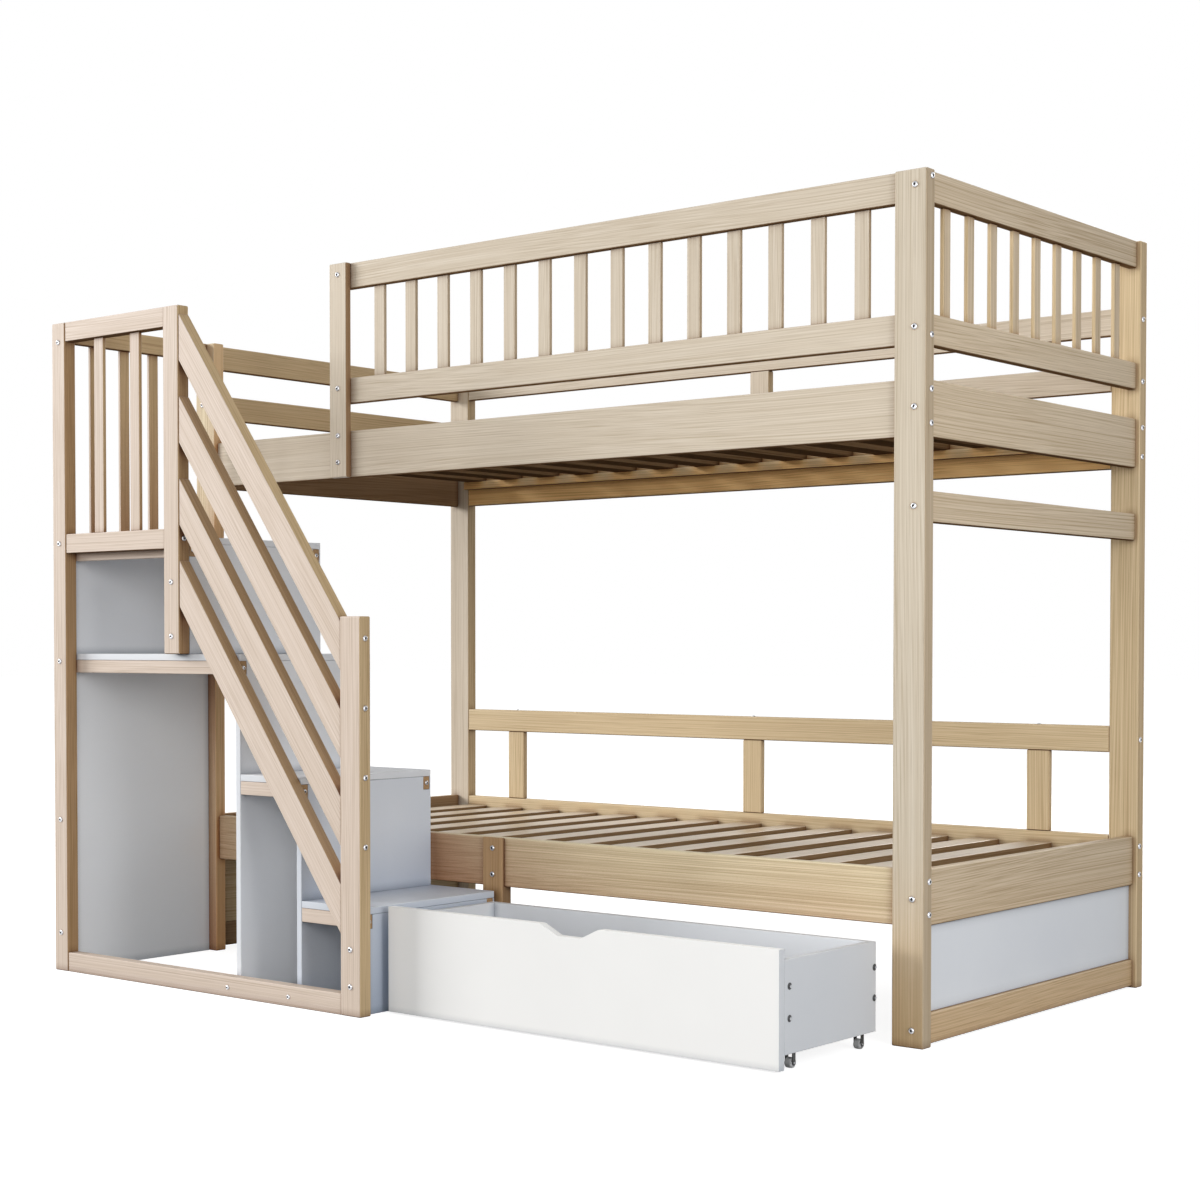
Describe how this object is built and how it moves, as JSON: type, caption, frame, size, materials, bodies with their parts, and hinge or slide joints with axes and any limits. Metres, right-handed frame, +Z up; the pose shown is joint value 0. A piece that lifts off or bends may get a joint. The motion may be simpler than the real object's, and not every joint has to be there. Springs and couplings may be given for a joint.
{
  "type": "bunk bed",
  "caption": "Wooden bunk bed with slatted tiers, guard rails, a storage stair with slanted handrail boards, and a drawer on castors that rolls out from under the lower tier.",
  "frame": {"origin": "on the floor, under the middle of the bounding box of bed, stair and drawer", "axes": "+X along the bed towards the end with the tall posts, +Y from the stair side to the wall side, +Z up"},
  "size_m": [2.114, 1.421, 1.68],
  "materials": {
    "frame_wood": "clear matt lacquer",
    "slat_wood": "planed, unlacquered",
    "white_board": "white matt laminate",
    "castor_bracket": "black satin",
    "castor_pin": "zinc plated",
    "castor_tyre": "matt"
  },
  "bodies": {
    "bed": {"back_guard_rails": "frame_wood", "back_guard_uprights": "frame_wood", "end_bottom_rails": "frame_wood", "end_cross_bar": "frame_wood", "end_guard_balusters": "frame_wood", "end_guard_rails": "frame_wood", "end_panel_left": "frame_wood", "end_panel_right": "white_board", "front_guard_balusters": "frame_wood", "front_guard_rails": "frame_wood", "guard_post": "frame_wood", "handrail_boards": "frame_wood", "ledgers": "slat_wood", "left_end_guard_rails": "frame_wood", "lower_back_guard_rail": "frame_wood", "lower_back_guard_uprights": "frame_wood", "lower_end_rails": "frame_wood", "lower_side_rail_back": "frame_wood", "lower_side_rail_front": "frame_wood", "lower_slats": "slat_wood", "middle_leg": "frame_wood", "post_back_left": "frame_wood", "post_back_right": "frame_wood", "post_front_left": "frame_wood", "post_front_right": "frame_wood", "riser_1": "white_board", "riser_2": "white_board", "riser_3": "white_board", "riser_4": "white_board", "stair_bottom_rail": "frame_wood", "stair_front_balusters": "frame_wood", "stair_front_rails": "frame_wood", "stair_newel": "frame_wood", "stair_post_left": "frame_wood", "stair_post_middle": "frame_wood", "stair_side_balusters": "frame_wood", "stair_side_panel": "white_board", "stair_side_rails": "frame_wood", "tread_1": "white_board", "tread_2": "white_board", "tread_3": "white_board", "tread_4": "white_board", "tread_bearers_1": "frame_wood", "tread_bearers_2": "frame_wood", "tread_bearers_3": "frame_wood", "tread_bearers_4": "frame_wood", "upper_end_rails": "frame_wood", "upper_side_rail_back": "frame_wood", "upper_side_rail_front": "frame_wood", "upper_slats": "slat_wood"},
    "drawer": {"drawer_front": "white_board", "drawer_sides": "white_board", "drawer_back": "white_board", "drawer_bottom": "white_board", "castor_forks": "castor_bracket", "castor_axles": "castor_pin"},
    "castor_wheel_back_left": {"castor_wheel_back_left": "castor_tyre"},
    "castor_wheel_back_right": {"castor_wheel_back_right": "castor_tyre"},
    "castor_wheel_front_left": {"castor_wheel_front_left": "castor_tyre"},
    "castor_wheel_front_right": {"castor_wheel_front_right": "castor_tyre"}
  },
  "joints": [
    {"name": "drawer_slide", "type": "slide", "parent": "bed", "child": "drawer", "axis": [0, 1, 0], "range_m": [0, 0.37]},
    {"name": "wheel_back_left_roll", "type": "hinge", "parent": "drawer", "child": "castor_wheel_back_left", "pos_m": [0.011, -0.3325, 0.01], "axis": [1, 0, 0], "range_deg": [-2160, 36]},
    {"name": "wheel_back_right_roll", "type": "hinge", "parent": "drawer", "child": "castor_wheel_back_right", "pos_m": [0.956, -0.3325, 0.01], "axis": [1, 0, 0], "range_deg": [-2160, 36]},
    {"name": "wheel_front_left_roll", "type": "hinge", "parent": "drawer", "child": "castor_wheel_front_left", "pos_m": [0.011, -0.5675, 0.01], "axis": [1, 0, 0], "range_deg": [-2160, 36]},
    {"name": "wheel_front_right_roll", "type": "hinge", "parent": "drawer", "child": "castor_wheel_front_right", "pos_m": [0.956, -0.5675, 0.01], "axis": [1, 0, 0], "range_deg": [-2160, 36]}
  ],
  "couplings": [
    {"joint": "wheel_back_left_roll", "follows": "drawer_slide", "rad_per_m": -100},
    {"joint": "wheel_back_right_roll", "follows": "drawer_slide", "rad_per_m": -100},
    {"joint": "wheel_front_left_roll", "follows": "drawer_slide", "rad_per_m": -100},
    {"joint": "wheel_front_right_roll", "follows": "drawer_slide", "rad_per_m": -100}
  ]
}
